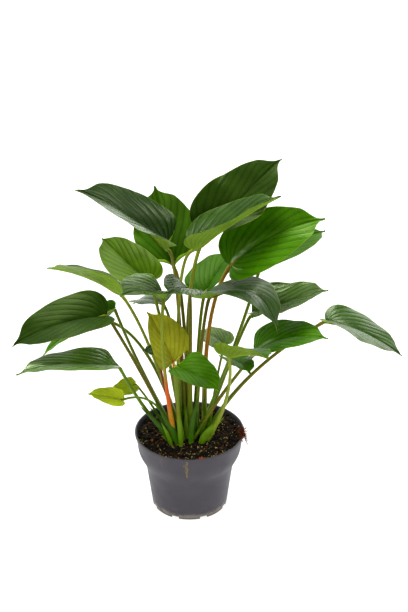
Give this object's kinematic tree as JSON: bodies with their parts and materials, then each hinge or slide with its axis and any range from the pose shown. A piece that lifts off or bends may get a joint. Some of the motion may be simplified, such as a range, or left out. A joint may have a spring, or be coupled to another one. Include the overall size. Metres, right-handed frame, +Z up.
{
  "type": "potted homalomena plant",
  "caption": "Bushy aroid house plant with heart-shaped, drip-tipped leaves on long stalks, growing in soil in a round plastic nursery pot.",
  "frame": {"origin": "middle of the pot's standing face, on the surface that it stands on", "axes": "+Z up out of the soil, +X to the right and -Y towards the viewer as the picture shows the plant"},
  "size_m": [0.4066, 0.208, 0.4002],
  "materials": {
    "pot_plastic": "dull moulded plastic with scuffs and dried dirt",
    "peat_soil": "damp, crumbly peat with light fibres and bark crumbs",
    "leaf_dark": "satin, dark green with lighter side veins",
    "leaf_bright": "satin, bright green with lighter side veins",
    "leaf_yellow": "satin, yellow green with darker stripes",
    "leaf_stalk": "satin, green, olive or reddish",
    "young_shoot": "satin, pale yellow green"
  },
  "bodies": {
    "root": {"pot": "pot_plastic", "soil": "peat_soil", "leaf_01_blade": "leaf_dark", "leaf_01_stalk": "leaf_stalk", "leaf_02_blade": "leaf_dark", "leaf_02_stalk": "leaf_stalk", "leaf_03_blade": "leaf_dark", "leaf_03_stalk": "leaf_stalk", "leaf_04_blade": "leaf_dark", "leaf_04_stalk": "leaf_stalk", "leaf_05_blade": "leaf_bright", "leaf_05_stalk": "leaf_stalk", "leaf_06_blade": "leaf_bright", "leaf_06_stalk": "leaf_stalk", "leaf_07_blade": "leaf_dark", "leaf_07_stalk": "leaf_stalk", "leaf_08_blade": "leaf_dark", "leaf_08_stalk": "leaf_stalk", "leaf_09_blade": "leaf_dark", "leaf_09_stalk": "leaf_stalk", "leaf_10_blade": "leaf_dark", "leaf_10_stalk": "leaf_stalk", "leaf_11_blade": "leaf_yellow", "leaf_11_stalk": "leaf_stalk", "leaf_12_blade": "leaf_dark", "leaf_12_stalk": "leaf_stalk", "leaf_13_blade": "leaf_dark", "leaf_13_stalk": "leaf_stalk", "leaf_14_blade": "leaf_bright", "leaf_14_stalk": "leaf_stalk", "leaf_15_blade": "leaf_dark", "leaf_15_stalk": "leaf_stalk", "leaf_16_blade": "leaf_dark", "leaf_16_stalk": "leaf_stalk", "leaf_17_blade": "leaf_dark", "leaf_17_stalk": "leaf_stalk", "leaf_18_blade": "leaf_bright", "leaf_18_stalk": "leaf_stalk", "leaf_19_blade": "leaf_bright", "leaf_19_stalk": "leaf_stalk", "leaf_20_blade": "leaf_dark", "leaf_20_stalk": "leaf_stalk", "leaf_21_blade": "leaf_bright", "leaf_21_stalk": "leaf_stalk", "leaf_22_blade": "leaf_dark", "leaf_22_stalk": "leaf_stalk", "leaf_23_blade": "leaf_bright", "leaf_23_stalk": "leaf_stalk", "leaf_24_blade": "leaf_bright", "leaf_24_stalk": "leaf_stalk", "leaf_25_blade": "leaf_dark", "leaf_25_stalk": "leaf_stalk", "leaf_26_blade": "leaf_bright", "leaf_26_stalk": "leaf_stalk", "leaf_27_blade": "leaf_yellow", "leaf_27_stalk": "leaf_stalk", "leaf_28_blade": "leaf_yellow", "leaf_28_stalk": "leaf_stalk", "shoot_1": "young_shoot", "shoot_2": "young_shoot"}
  },
  "joints": []
}
